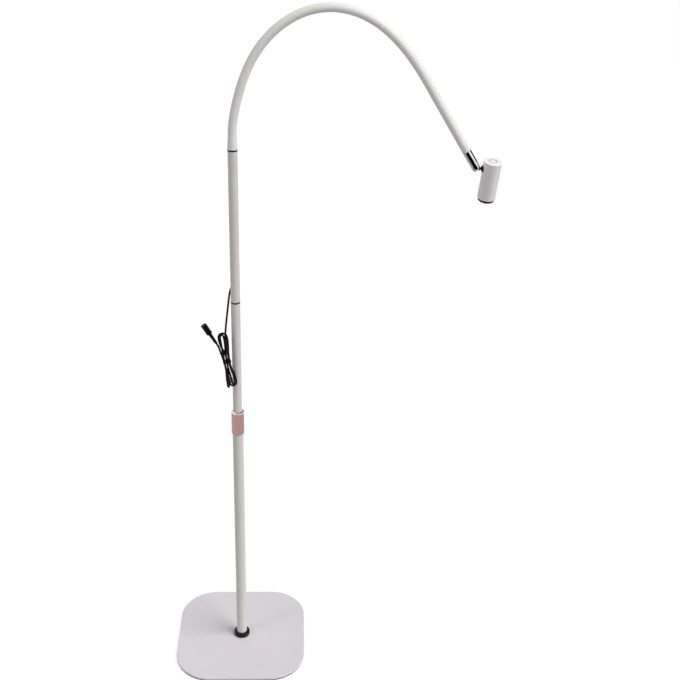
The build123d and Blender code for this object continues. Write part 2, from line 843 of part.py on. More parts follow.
def hank_nodes():
    """Points along the whole hank: a head, then waist, side, tip, side for each half turn, then a tail."""
    depths = [share * strand_pitch for share in strand_deep_shares]
    steps = [share * strand_pitch for share in strand_across_shares]
    head_along = hank_head_along_share * hank_half_length
    tail_along = hank_tail_along_share * hank_half_length
    head_across = hank_head_across_share * strand_pitch
    nodes = [hank_node(head_across, head_along, hank_head_deep_share * strand_pitch, 0, -1)]
    way = -1
    for index, tip_share in enumerate(loop_tip_shares):
        right = loop_right_shares[index] * hank_width
        left = loop_left_shares[index] * hank_width
        tip = tip_share * hank_half_length
        turn = (right - left) / 2
        nodes.append(hank_node(steps[index], 0, depths[index], 0, way))
        first, second = (right, left) if steps[index] > steps[index + 1] else (left, right)
        middle_depth = (depths[index] + depths[index + 1]) / 2
        nodes.append(hank_node(first, way * (tip - turn), depths[index], 0, way))
        nodes.append(hank_node((first + second) / 2, way * tip, middle_depth, second - first, 0))
        nodes.append(hank_node(second, way * (tip - turn), depths[index + 1], 0, -way))
        way = -way
    nodes.append(hank_node(steps[-1], 0, depths[-1], 0, way))
    nodes.append(hank_node(hank_tail_across_share * strand_pitch, tail_along, depths[-1], 0, way))
    return nodes


def biarc(start, start_run, end, end_run):
    """Two arcs, or straight runs, that leave one point and reach another along the given ways."""
    chord = end - start
    runs = start_run + end_run
    bend = 2 * (1 - start_run.dot(end_run))
    along = chord.dot(runs)
    if bend < straight_tolerance:
        reach = chord.dot(chord) / (2 * along)
    else:
        reach = (math.sqrt(along**2 + bend * chord.dot(chord)) - along) / bend
    meet = (start + end + (start_run - end_run) * reach) * 0.5
    for first, second, run in ((start, meet, start_run), (end, meet, -end_run)):
        if run.cross((second - first).normalized()).length < straight_tolerance:
            Line(first, second)
        else:
            TangentArc(first, second, tangent=run)


nodes_along_hank = hank_nodes()
with BuildPart() as cord_hank:
    with BuildLine() as hank_line:
        for (start, start_run), (end, end_run) in zip(nodes_along_hank, nodes_along_hank[1:]):
            biarc(start, start_run, end, end_run)
    hank_path = hank_line.wire()
    hank_start, hank_start_run = nodes_along_hank[0]
    with BuildSketch(Plane(origin=hank_start, z_dir=hank_start_run)) as hank_disc:
        Circle(cord_radius)
    sweep(hank_disc.sketch, path=hank_path)

# Least gap of the hank's cord to itself, on evenly spaced points
sample_count = int(hank_path.length / hank_sample_spacing)
samples = [hank_path.position_at(index / sample_count) for index in range(sample_count + 1)]
apart = int(3 * cord_diameter / hank_sample_spacing)
hank_gap = min(
    (samples[first] - samples[second]).length
    for first in range(len(samples))
    for second in range(first + apart, len(samples))
)
print("hank length", round(hank_path.length, 1), "least gap to itself", round(hank_gap - cord_diameter, 2))

# Tie round the waist
with BuildPart() as cord_tie:
    with BuildSketch(Plane(origin=hank_waist, x_dir=hank_across, z_dir=hank_axis)):
        tie_across = 2 * (strand_pitch + cord_radius + tie_gap + tie_wall)
        tie_deep = strand_pitch + cord_diameter + 2 * (tie_gap + tie_wall)
        RectangleRounded(tie_across, tie_deep, cord_radius + tie_gap + tie_wall)
        RectangleRounded(
            tie_across - 2 * tie_wall,
            tie_deep - 2 * tie_wall,
            cord_radius + tie_gap,
            mode=Mode.SUBTRACT,
        )
    extrude(amount=tie_height / 2, both=True)


def cord_tube(name, points):
    """Round cord along straight runs joined by arcs as large as the runs allow; prints its radii."""
    runs = [(end - start).length for start, end in zip(points, points[1:])]
    turns = [
        (middle - start).get_angle(end - middle) for start, middle, end in zip(points, points[1:], points[2:])
    ]
    radii = [
        cord_radius_share * min(runs[index], runs[index + 1]) / math.tan(math.radians(turn) / 2)
        for index, turn in enumerate(turns)
    ]
    with BuildLine() as route:
        FilletPolyline(*points, radius=radii)
    path = route.wire()
    with BuildSketch(Plane(origin=points[0], z_dir=(points[1] - points[0]))) as disc:
        Circle(cord_radius)
    sweep(disc.sketch, path=path)
    print(name, "length", round(path.length, 1), "radii", [round(radius, 1) for radius in radii])
    return path.length


# Lead: from the gland, out behind the tube, down its left side and into the hank
gland_exit = gland_plane.origin + gland_direction * gland_face
lead_points = [
    gland_exit,
    gland_exit + gland_direction * lead_exit_run,
    Vector(-7.5, 25.0, gland_level - 3.4),
    Vector(-10.6, 28.8, gland_level - 10.8),
    Vector(-12.9, 27.2, gland_level - 20.4),
    Vector(-14.5, 18.0, gland_level - 33.4),
    Vector(-16.5, 5.6, gland_level - 51),
    Vector(-18.6, -9.2, gland_level - 71),
    hank_start - hank_start_run * lead_entry_run,
    hank_start,
]
with BuildPart() as cord_lead:
    lead_length = cord_tube("lead", lead_points)

# Tail: from the hank's last strand up to the left, into the socket's neck
hank_end, hank_end_run = nodes_along_hank[-1]
socket_direction = Vector(socket_lean_share, 0, 1).normalized()
tail_points = [
    hank_end,
    hank_end + hank_end_run * tail_run,
    Vector(-29.9, -14.6, hank_end.Z + 15),
    Vector(-33.9, -14.4, hank_end.Z + 22),
]
socket_start = tail_points[-1] + socket_direction * tail_run
tail_points.append(socket_start)
with BuildPart() as cord_tail:
    tail_length = cord_tube("tail", tail_points)

print("cord length", round(lead_length + hank_path.length + tail_length, 1))

# Inline socket: tapered strain relief, round body with an open bore, centre pin
socket_section = section_plane(socket_start, side_of(socket_direction), socket_direction)
socket_end = socket_neck_length + socket_body_length
socket_bore_floor = socket_end - socket_bore_depth
with BuildPart() as socket_body:
    turned(
        socket_section,
        (
            (0, 0),
            (cord_radius + tie_wall, 0),
            (socket_neck_diameter / 2, socket_neck_length),
            (socket_body_diameter / 2, socket_neck_length + socket_shoulder),
            (socket_body_diameter / 2, socket_end),
            (socket_bore_diameter / 2, socket_end),
            (socket_bore_diameter / 2, socket_bore_floor),
            (0, socket_bore_floor),
        ),
    )

with BuildPart() as socket_pin:
    round_bar(
        Plane(origin=socket_start, z_dir=socket_direction),
        socket_pin_diameter / 2,
        socket_bore_floor,
        socket_end - socket_pin_recess,
    )

pieces = {
    "base_pad": base_pad,
    "base_plate": base_plate,
    "foot_bolt": foot_bolt,
    "pole_plug": pole_plug,
    "foot_collar": foot_collar,
    "lower_tube": lower_tube,
    "clamp_sleeve": clamp_sleeve,
    "clamp_collet": clamp_collet,
    "twist_collar": twist_collar,
    "guide_plug": guide_plug,
    "mast_tube_lower": mast_tube_lower,
    "joint_coupler_lower": joint_coupler_lower,
    "joint_ring_lower": joint_ring_lower,
    "mast_tube_upper": mast_tube_upper,
    "joint_coupler_upper": joint_coupler_upper,
    "joint_ring_upper": joint_ring_upper,
    "cord_gland": cord_gland,
    "neck_root": neck_root,
    "neck_sleeve": neck_sleeve,
    "inner_wire": inner_wire,
    "tip_stud": tip_stud,
    "swivel_cup": swivel_cup,
    "swivel_screw": swivel_screw,
    "ball_pad": ball_pad,
    "ball_spring": ball_spring,
    "pivot_ball": pivot_ball,
    "ball_stud": ball_stud,
    "head_saddle": head_saddle,
    "stud_nut": stud_nut,
    "head_housing": head_housing,
    "top_cap": top_cap,
    "power_button": power_button,
    "control_board": control_board,
    "tact_switch": tact_switch,
    "led_board": led_board,
    "led_emitter": led_emitter,
    "reflector": reflector,
    "lens": lens,
    "lens_bezel": lens_bezel,
    "cord_lead": cord_lead,
    "cord_hank": cord_hank,
    "cord_tie": cord_tie,
    "cord_tail": cord_tail,
    "socket_body": socket_body,
    "socket_pin": socket_pin,
}
for name, piece in pieces.items():
    save(piece, name)
for number, neck_link in enumerate(neck_links, start=1):
    save(neck_link, f"neck_link_{number:02d}")
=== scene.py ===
# %% [markdown]
# # A floor-standing LED curing lamp
# This lesson dresses a lamp whose pieces are already modelled as solids: a weighted base, a
# telescopic pole with a twist lock, a gooseneck arm and a small head on a ball joint. The solids
# give every size and every joint. Here each of them gets its finish, and the ones with soft edges
# or a smooth bend are worked out again as fine grids.

# %% Load the solids
import json
import math
from collections import namedtuple

import bmesh
import bpy
import numpy as np
from mathutils import Matrix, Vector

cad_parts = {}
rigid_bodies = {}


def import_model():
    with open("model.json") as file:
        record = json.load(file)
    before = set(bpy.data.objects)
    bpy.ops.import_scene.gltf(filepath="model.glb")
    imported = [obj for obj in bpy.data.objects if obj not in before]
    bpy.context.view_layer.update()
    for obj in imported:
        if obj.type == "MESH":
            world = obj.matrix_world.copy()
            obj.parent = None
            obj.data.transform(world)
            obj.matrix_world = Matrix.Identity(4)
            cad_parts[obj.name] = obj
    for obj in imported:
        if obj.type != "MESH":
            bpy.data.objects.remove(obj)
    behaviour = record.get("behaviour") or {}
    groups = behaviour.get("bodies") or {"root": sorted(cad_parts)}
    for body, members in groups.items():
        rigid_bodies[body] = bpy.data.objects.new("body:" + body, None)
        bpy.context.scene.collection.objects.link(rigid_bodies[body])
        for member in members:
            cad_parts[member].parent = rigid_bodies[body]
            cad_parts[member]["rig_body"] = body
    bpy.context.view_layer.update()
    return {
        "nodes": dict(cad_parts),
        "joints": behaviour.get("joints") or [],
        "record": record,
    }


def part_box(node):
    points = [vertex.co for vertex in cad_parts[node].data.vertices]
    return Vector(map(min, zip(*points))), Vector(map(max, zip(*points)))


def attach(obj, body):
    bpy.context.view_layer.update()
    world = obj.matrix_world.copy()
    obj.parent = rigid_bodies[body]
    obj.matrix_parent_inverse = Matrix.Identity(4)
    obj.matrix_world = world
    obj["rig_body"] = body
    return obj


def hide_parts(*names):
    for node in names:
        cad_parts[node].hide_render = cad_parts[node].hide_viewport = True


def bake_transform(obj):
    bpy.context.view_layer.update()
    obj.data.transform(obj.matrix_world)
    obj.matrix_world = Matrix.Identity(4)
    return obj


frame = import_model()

MM = 0.001
nodes = frame["nodes"]
joints = {joint["name"]: joint for joint in frame["joints"]}
slot_of = {row["node"]: row["material_slot"] for row in frame["record"]["subparts"]}

# %% [markdown]
# ## The camera
# The photograph looks down on the lamp from the front. Its focal length, height and turn were found
# by matching the pole, the base's corners and the arm. A camera can be aimed at a target, but that
# leaves out its roll. So it is set by a matrix, whose columns are right, up, back and place.

# %% The camera's directions
up_axis = np.array([0.0, 0.0, 1.0])
yaw, pitch, roll = np.radians([2.80, 26.88, 1.71])
level_right = np.array([math.cos(yaw), -math.sin(yaw), 0])
level_ahead = np.array([math.sin(yaw), math.cos(yaw), 0])
ahead = level_ahead * math.cos(pitch) - up_axis * math.sin(pitch)
level_up = np.cross(level_right, ahead)
camera_right = level_right * math.cos(roll) + level_up * math.sin(roll)
camera_up = level_up * math.cos(roll) - level_right * math.sin(roll)
print("camera looks along", np.round(ahead, 3))

# %% Camera
photo_side = 680
focal_pixels = 1057
sensor_width = 36.0
camera_place = np.array([112, -1837, 1684]) * MM


def show(name, data):
    """A new object that holds the given data, linked to the scene."""
    thing = bpy.data.objects.new(name, data)
    bpy.context.scene.collection.objects.link(thing)
    return thing


def placed(right, up, back, place):
    """4 x 4 matrix whose columns are right, up, back and place."""
    matrix = np.eye(4)
    matrix[:3] = np.column_stack([right, up, back, place])
    return Matrix(matrix)


camera = show("camera", bpy.data.cameras.new("camera"))
camera.data.sensor_width = sensor_width
camera.data.lens = focal_pixels / photo_side * sensor_width
camera.matrix_world = placed(camera_right, camera_up, -ahead, camera_place)
bpy.context.scene.camera = camera
bpy.context.scene.view_settings.view_transform = "Standard"
print("lens", round(camera.data.lens, 2), "mm")

# %% [markdown]
# ## The cord's line
# The cord leaves a grommet behind the pole, comes round its left side and ends in an inline socket.
# Most of it is folded into a hank of six strands, drawn in at the waist by a tie. Straight runs and
# arcs would look like bent wire, so one smooth spline follows the points of the route. A quadratic
# spline touches the middle of each run between its points. So a fold needs only the two corners of
# its end, and a strand that steps sideways needs a point each side.

# %% Lead from the grommet
cord_diameter = 4.0
gland_level = 857.0
gland_face = 12.0
gland_azimuth = math.radians(105.0)
lead_exit_run = 7.5
# To the right, to the back and up, from the pole's axis at the grommet's level, in millimetres.
lead_bends = np.array([
    [-7.5, 25.0, -3.4],
    [-10.6, 28.8, -10.8],
    [-12.9, 27.2, -20.4],
    [-14.5, 18.0, -33.4],
    [-16.5, 5.6, -51.0],
    [-18.6, -9.2, -71.0],
])
gland_out = np.array([math.cos(gland_azimuth), math.sin(gland_azimuth), 0])
gland_middle = gland_level * up_axis
gland_exit = gland_out * gland_face + gland_middle
lead = [gland_exit, gland_exit + gland_out * lead_exit_run, *(gland_middle + lead_bends)]
print("lead starts at", np.round(gland_exit, 1), "and has", len(lead), "points")

# %% The hank's own three ways
hank_drop = 146.0
hank_waist = np.array([-17.5, -17.5, gland_level - hank_drop])


def unit(vector):
    """The vector divided by its length."""
    return np.asarray(vector, float) / np.linalg.norm(vector)


hank_along = unit([-0.14, 0.035, 1.0])
hank_across = unit(np.cross(hank_along, [0, -1, 0]))
hank_deep = np.cross(hank_across, hank_along)


def in_hank(across, along, deep):
    """A place in the hank: waist + across, along and deep along the hank's own three ways."""
    return hank_waist + across * hank_across + along * hank_along + deep * hank_deep


print("hank hangs along", np.round(hank_along, 3), "and faces", np.round(hank_deep, 3))

# %% Strands and folds
strand_pitch = 4.6
hank_width = 20.0
hank_half_length = 59.0
# Three strands pass the waist in front and three behind.
strand_across = strand_pitch * np.array([1, 0, -1, 1, 0, -1])
strand_deep = strand_pitch * np.array([0.5, 0.5, 0.5, -0.5, -0.5, -0.5])
# The folds are loose, so each one has its own right side, left side and tip.
loop_right = hank_width * np.array([0.445, 0.12, 0.55, 0.40, -0.21])
loop_left = hank_width * np.array([0.145, -0.25, -0.06, -0.44, -0.35])
loop_tip = hank_half_length * np.array([0.81, 1.00, 0.89, 1.02, 0.94])
# The last fold is narrow, so its first side stands forward of its second.
fold_forward = strand_pitch * np.array([0, 0, 0, 0, 0.5])
near_waist_share, near_tip_share = 0.28, 0.72

folds = []
for index, tip in enumerate(loop_tip):
    way = -1 if index % 2 == 0 else 1
    sides = [loop_left[index], loop_right[index]]
    first, second = sides if strand_across[index] < strand_across[index + 1] else sides[::-1]
    straight = way * (tip - (loop_right[index] - loop_left[index]) / 2)
    deep, next_deep = strand_deep[index], strand_deep[index + 1]
    folds += [
        in_hank(strand_across[index], near_waist_share * straight, deep),
        in_hank(first, near_tip_share * straight, deep + fold_forward[index]),
        in_hank(first, way * tip, deep + fold_forward[index]),
        in_hank(second, way * tip, next_deep),
        in_hank(second, near_tip_share * straight, next_deep),
        in_hank(strand_across[index + 1], near_waist_share * straight, next_deep),
    ]
print("folds", len(loop_tip), "with", len(folds), "points")

# %% Ends of the hank
lead_entry_run = 12.0
entry_across, entry_deep = 1.15 * strand_pitch, 1.7 * strand_pitch
entry_along = 0.72 * hank_half_length
hank_start = in_hank(entry_across, entry_along, entry_deep)
first_strand = in_hank(strand_across[0], near_waist_share * hank_half_length, strand_deep[0])
entry = [hank_start + hank_along * lead_entry_run, hank_start, first_strand]

tail_run = 8.0
tail_across = strand_pitch * np.array([-1.6, -2.1])
tail_along = hank_half_length * np.array([0.16, 0.36])
tail_level = in_hank(-1.3 * strand_pitch, 0.20 * hank_half_length, strand_deep[-1])[2]
# To the right and to the back of the pole's axis, and up from the tail's level.
tail_bends = np.array([[-31.6, -14.5, 15.6], [-33.9, -14.4, 22.0]])
tail = [in_hank(across, along, strand_deep[-1]) for across, along in zip(tail_across, tail_along)]
tail += list(tail_level * up_axis + tail_bends)
socket_along = unit([-0.6, 0, 1])
tail.append(tail[-1] + socket_along * tail_run)
print("tail ends at", np.round(tail[-1], 1))

# %% Cord as one spline
spline_order = 3
curve_steps, ring_steps = 8, 6
route = np.array(lead + entry + folds + tail) * MM
cord_data = bpy.data.curves.new("power_cord", "CURVE")
cord_data.dimensions = "3D"
spline = cord_data.splines.new("NURBS")
spline.points.add(len(route) - 1)
spline.points.foreach_set("co", np.column_stack([route, np.ones(len(route))]).ravel())
# The order and the ends come after the points. Set before them, they would leave straight runs.
spline.order_u = spline_order
spline.use_endpoint_u = True
spline.resolution_u = curve_steps
# The bevel is one unit deep, and each point's radius brings it to the cord's own.
spline.points.foreach_set("radius", np.full(len(route), cord_diameter / 2 * MM))
cord_data.bevel_depth = 1.0
cord_data.bevel_resolution = ring_steps
cord_data.use_fill_caps = True
cord = show("power_cord", cord_data)
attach(cord, "mast")
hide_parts("cord_lead", "cord_hank", "cord_tail")
print("route points", len(route), "spline order", spline.order_u)

# %% [markdown]
# ## Helpers for surfaces
# Nearly every piece of this lamp was turned on a lathe, drawn as a tube or moulded round. Such a
# piece could be a cylinder with a bevel, but then its profile is hard to set. So it is a profile of
# radii and heights carried round an axis. Corners get a small arc, because real edges catch a thin
# line of light.

# %% Measuring the solids
pole_foot = np.zeros(3)
Reach = namedtuple("Reach", "low high bore outside")


def points_of(node):
    """All corners of a solid's mesh, one row of x, y and z for each."""
    mesh = nodes[node].data
    places = np.empty(3 * len(mesh.vertices))
    mesh.vertices.foreach_get("co", places)
    return places.reshape(-1, 3)


def span(node, origin, along):
    """Least and most height of a solid along an axis, and least and most distance from it."""
    offset = points_of(node) - origin
    height = offset @ along
    radius = np.linalg.norm(offset - np.outer(height, along), axis=1)
    return Reach(height.min(), height.max(), radius.min(), radius.max())


collar_reach = span("twist_collar", pole_foot, up_axis)
print("twist collar", round(2 * collar_reach.outside / MM, 1), "mm across")

# %% Meshes from grids
weld_distance = 1e-7
crease_angle = math.radians(38)


def tidy_mesh(mesh):
    """Weld doubles, point every face outwards, and shade smooth up to a crease."""
    shell = bmesh.new()
    shell.from_mesh(mesh)
    bmesh.ops.remove_doubles(shell, verts=shell.verts, dist=weld_distance)
    bmesh.ops.dissolve_degenerate(shell, edges=shell.edges, dist=weld_distance)
    bmesh.ops.recalc_face_normals(shell, faces=shell.faces)
    shell.to_mesh(mesh)
    shell.free()
    mesh.shade_smooth()
    mesh.set_sharp_from_angle(angle=crease_angle)


def surface(name, grid, closed_rows=True):
    """Quads between neighbours of a grid whose columns go round; rows of one place are welded."""
    rows, columns = grid.shape[:2]
    index = np.arange(rows * columns).reshape(rows, columns)
    index = np.vstack([index, index[:1]]) if closed_rows else index
    index = np.hstack([index, index[:, :1]])
    quads = np.stack([index[:-1, :-1], index[:-1, 1:], index[1:, 1:], index[1:, :-1]], axis=-1)
    mesh = bpy.data.meshes.new(name)
    mesh.from_pydata(grid.reshape(-1, 3).tolist(), [], quads.reshape(-1, 4).tolist())
    tidy_mesh(mesh)
    return show(name, mesh)


print("edges stay sharp above", round(math.degrees(crease_angle)), "degrees")

# %% Profiles with rounded corners
arc_steps = 5


def rounded(corners, radii):
    """Closed outline with an arc at each corner, and a point on each side just beyond the arc.

    With unit sides a and b at corner p and half angle h between them, the arc's centre is
    p + unit(a + b) * r / sin(h), and it runs between p + a * r / tan(h) and p + b * r / tan(h).
    """
    corners = np.asarray(corners, float)
    points = []
    neighbours = np.roll(corners, 1, 0), np.roll(corners, -1, 0)
    for corner, before, after, radius in zip(corners, *neighbours, radii):
        if radius == 0:
            points.append(corner[None])
            continue
        a, b = unit(before - corner), unit(after - corner)
        half = math.acos(np.clip(a @ b, -1, 1)) / 2
        centre = corner + unit(a + b) * radius / math.sin(half)
        reach = radius / math.tan(half)
        start, end = corner + a * reach - centre, corner + b * reach - centre
        sweep = math.pi - 2 * half
        share = np.linspace(0, 1, arc_steps + 1)[:, None]
        arc = np.sin((1 - share) * sweep) * start + np.sin(share * sweep) * end
        beyond = reach + radius / 2
        points.append((corner + a * beyond)[None])
        points.append(centre + arc / math.sin(sweep))
        points.append((corner + b * beyond)[None])
    return np.vstack(points)


square = [(0, 0), (1, 0), (1, 1), (0, 1)]
print("a rounded square has", len(rounded(square, [0.1] * 4)), "points")

# %% Turning a profile
# No axis of the lamp lies along this way, so a turn can start from it.
turn_guide = np.array([0, 1, 0.01])
turn_steps = 96


def turned(name, profile, origin, along):
    """Profile point (r, h) turned by angle t: origin + h * along + r * (cos t * u + sin t * v)."""
    across = unit(np.cross(along, turn_guide))
    around = np.cross(along, across)
    angle = np.linspace(0, 2 * math.pi, turn_steps, endpoint=False)
    ring = np.cos(angle)[:, None] * across + np.sin(angle)[:, None] * around
    grid = origin + profile[:, 1, None, None] * along + profile[:, 0, None, None] * ring
    return surface(name, grid)


print("a turned piece has", turn_steps, "columns")

# %% Taking a solid's place
def stand_for(piece, node, material, body=None):
    """Give a piece its finish and a solid's place, on that solid's body or a named one."""
    piece.data.materials.append(material)
    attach(piece, body or nodes[node]["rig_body"])
    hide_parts(node)


# %% [markdown]
# ## Finishes
# Each finish starts from the real material and how its surface was made. No real surface has one
# flat colour, so a coat has two close tones in soft clouds, a fine grain and an uneven gloss, at
# sizes in millimetres. Colours are written as the eye sees them, in sRGB, and turned to linear
# light by one function.

# %% Colour and node helpers
def linear(hex_colour):
    """sRGB hex to linear RGBA: c / 12.92 below 0.04045, else ((c + 0.055) / 1.055) ** 2.4."""
    code = hex_colour.lstrip("#")
    srgb = np.array([int(code[place:place + 2], 16) / 255 for place in (0, 2, 4)])
    light = np.where(srgb <= 0.04045, srgb / 12.92, ((srgb + 0.055) / 1.055) ** 2.4)
    return (*light.tolist(), 1.0)


def add(tree, kind, inputs=None, **settings):
    """Add one node with its settings; an input is linked if it gets a socket, and set if not."""
    made = tree.nodes.new(kind)
    for name, value in settings.items():
        setattr(made, name, value)
    for name, value in (inputs or {}).items():
        if isinstance(value, bpy.types.NodeSocket):
            tree.links.new(value, made.inputs[name])
        else:
            made.inputs[name].default_value = value
    return made


def plain_finish(name, **sockets):
    """A new material with some of its sockets set, together with its node tree and its shader."""
    material = bpy.data.materials.new(name)
    material.use_nodes = True
    shader = material.node_tree.nodes["Principled BSDF"]
    for socket, value in sockets.items():
        shader.inputs[socket.replace("_", " ")].default_value = value
    return material, material.node_tree, shader


print("middle grey is", round(linear("#808080")[0], 3), "in linear light")

# %% Coats and moulded plastics
# Inputs and output of a Mix node that mixes colours.
MIX_SHARE, MIX_A, MIX_B, MIX_OUT = 0, 6, 7, 2
cloud_detail, grain_detail = 3.0, 2.0
# Clouds seldom leave this range, so the gloss takes its spread from it.
cloud_low, cloud_high = 0.3, 0.7


def coat(name, low, high, cloud_mm, grain_mm, grain_height_mm, roughness, spread, **sockets):
    """Painted or moulded finish: two tones in soft clouds, a fine grain as bump, uneven gloss."""
    material, tree, shader = plain_finish(name, **sockets)
    place = add(tree, "ShaderNodeTexCoord").outputs["Object"]
    cloud = add(
        tree,
        "ShaderNodeTexNoise",
        {"Vector": place, "Scale": 1 / (cloud_mm * MM), "Detail": cloud_detail},
    ).outputs["Fac"]
    tone = add(
        tree,
        "ShaderNodeMix",
        {MIX_SHARE: cloud, MIX_A: linear(low), MIX_B: linear(high)},
        data_type="RGBA",
    )
    tree.links.new(tone.outputs[MIX_OUT], shader.inputs["Base Color"])
    grain = add(
        tree,
        "ShaderNodeTexNoise",
        {"Vector": place, "Scale": 1 / (grain_mm * MM), "Detail": grain_detail},
    ).outputs["Fac"]
    bump = add(
        tree,
        "ShaderNodeBump",
        {"Height": grain, "Distance": grain_height_mm * MM, "Strength": 1.0},
    )
    tree.links.new(bump.outputs["Normal"], shader.inputs["Normal"])
    gloss = add(
        tree,
        "ShaderNodeMapRange",
        {
            "Value": cloud,
            "From Min": cloud_low,
            "From Max": cloud_high,
            "To Min": roughness - spread,
            "To Max": roughness + spread,
        },
    )
    tree.links.new(gloss.outputs["Result"], shader.inputs["Roughness"])
    return material


print("a coat's gloss follows clouds from", cloud_low, "to", cloud_high)

# %% [markdown]
# ## White pieces
# The base, the pole, the arm and the head are all called white, but each was whitened in another
# way: baked powder, dyed plastic, sprayed paint. One shared white would join them into one piece,
# so each has its own tone and gloss.

# %% Finishes of the white pieces
# Powder coat: baked polyester on steel, with a faint orange peel; the peel is drawn at 2.5 mm so
# that it shows, where the real one is nearer 1 mm.
plate_coat = coat(
    "powder_coated_steel_plate", "#DFD9DE", "#E6E0E5",
    cloud_mm=60, grain_mm=2.5, grain_height_mm=0.005, roughness=0.40, spread=0.05,
)
# The same coat on the tubes, from a warmer batch.
tube_coat = coat(
    "powder_coated_steel_tube", "#DEDAD6", "#E5E1DD",
    cloud_mm=45, grain_mm=2.5, grain_height_mm=0.003, roughness=0.40, spread=0.05,
)
# Extruded PVC sleeve: softer gloss than the coat, with a faint matt bloom.
pvc_sleeve = coat(
    "extruded_pvc", "#F2EEEC", "#F8F5F2",
    cloud_mm=35, grain_mm=2.0, grain_height_mm=0.002, roughness=0.48, spread=0.05,
)
# Spray-painted ABS of the head: smooth, with a little more gloss.
painted_abs = coat(
    "painted_abs", "#F5F2F2", "#FBF9F9",
    cloud_mm=25, grain_mm=1.5, grain_height_mm=0.002, roughness=0.36, spread=0.04,
)
print("white finishes:", plate_coat.name, tube_coat.name, pvc_sleeve.name, painted_abs.name)

# %% [markdown]
# ## Dark pieces
# The cord, the collar at the foot, the rings, the ball stud and the lens ring are black. In a white
# room black pieces turn grey with what they reflect. Darker colours can't mend that, so their
# mirror share is set low to keep them as deep as in the photograph.

# %% Finishes of the black plastics and the pad
# Injection-moulded ABS: near black, polished by its mould.
black_abs = coat(
    "moulded_black_abs", "#050505", "#0C0B0C",
    cloud_mm=12, grain_mm=0.8, grain_height_mm=0.006, roughness=0.22, spread=0.05,
    Specular_IOR_Level=0.22,
)
# Flexible PVC of the cord and its socket: black with a soft sheen from the extruder.
black_pvc = coat(
    "flexible_black_pvc", "#030303", "#070707",
    cloud_mm=9, grain_mm=1.0, grain_height_mm=0.010, roughness=0.40, spread=0.06,
    Specular_IOR_Level=0.12,
)
# Foam rubber of the non-slip pad: open cells leave it dull.
foam_rubber = coat(
    "foam_rubber", "#101011", "#18181A",
    cloud_mm=8, grain_mm=0.9, grain_height_mm=0.05, roughness=0.85, spread=0.05,
    Specular_IOR_Level=0.1,
)
print("black finishes:", black_abs.name, black_pvc.name, foam_rubber.name)

# %% Finishes of the stud, the lens ring and the mark
# Blackened steel of the ball stud and its saddle: an oiled satin.
black_steel = coat(
    "blackened_steel", "#060607", "#0D0D0E",
    cloud_mm=6, grain_mm=0.6, grain_height_mm=0.005, roughness=0.30, spread=0.05,
    Specular_IOR_Level=0.2,
)
# Tinted ABS of the lens ring: a warm black with a polish.
dark_bezel = coat(
    "tinted_abs", "#0E0B0C", "#171314",
    cloud_mm=10, grain_mm=0.8, grain_height_mm=0.005, roughness=0.20, spread=0.04,
    Specular_IOR_Level=0.25,
)
# Grey ink of the mark on the button: flat, with no shine of its own.
grey_ink = coat(
    "grey_ink", "#828084", "#8E8C90",
    cloud_mm=3, grain_mm=0.3, grain_height_mm=0.001, roughness=0.50, spread=0.05,
)
print("finishes so far", len(bpy.data.materials))

# %% [markdown]
# ## Metals
# The lock collar, the cup and the inner pieces are metal. Metals keep the default index of
# refraction and take their colour from the base colour. Turning leaves rings round the axis. They
# could be cut into the mesh, but they are finer than a grid, so a wave along the height of the
# piece bumps the surface instead.

# %% Turned metal
smear_mm = 7
gloss_least, gloss_most = 0.7, 1.3


def turned_metal(name, colour, groove_mm, groove_height_mm, roughness, along):
    """Metal with lathe rings: bump = sin(2 pi * height / groove), with smears in the gloss."""
    material, tree, shader = plain_finish(name, Metallic=1.0, Base_Color=linear(colour))
    place = add(tree, "ShaderNodeTexCoord").outputs["Object"]
    height = add(
        tree, "ShaderNodeVectorMath", {0: place, 1: tuple(along)}, operation="DOT_PRODUCT"
    ).outputs["Value"]
    turns = 2 * math.pi / (groove_mm * MM)
    rings = add(tree, "ShaderNodeMath", {0: height, 1: turns}, operation="MULTIPLY")
    wave = add(tree, "ShaderNodeMath", {0: rings.outputs["Value"]}, operation="SINE")
    bump = add(
        tree,
        "ShaderNodeBump",
        {"Height": wave.outputs["Value"], "Distance": groove_height_mm * MM, "Strength": 1.0},
    )
    tree.links.new(bump.outputs["Normal"], shader.inputs["Normal"])
    smear = add(
        tree,
        "ShaderNodeTexNoise",
        {"Vector": place, "Scale": 1 / (smear_mm * MM), "Detail": cloud_detail},
    ).outputs["Fac"]
    gloss = add(
        tree,
        "ShaderNodeMapRange",
        {"Value": smear, "To Min": roughness * gloss_least, "To Max": roughness * gloss_most},
    )
    tree.links.new(gloss.outputs["Result"], shader.inputs["Roughness"])
    return material


print("smears on metal are", smear_mm, "mm wide")

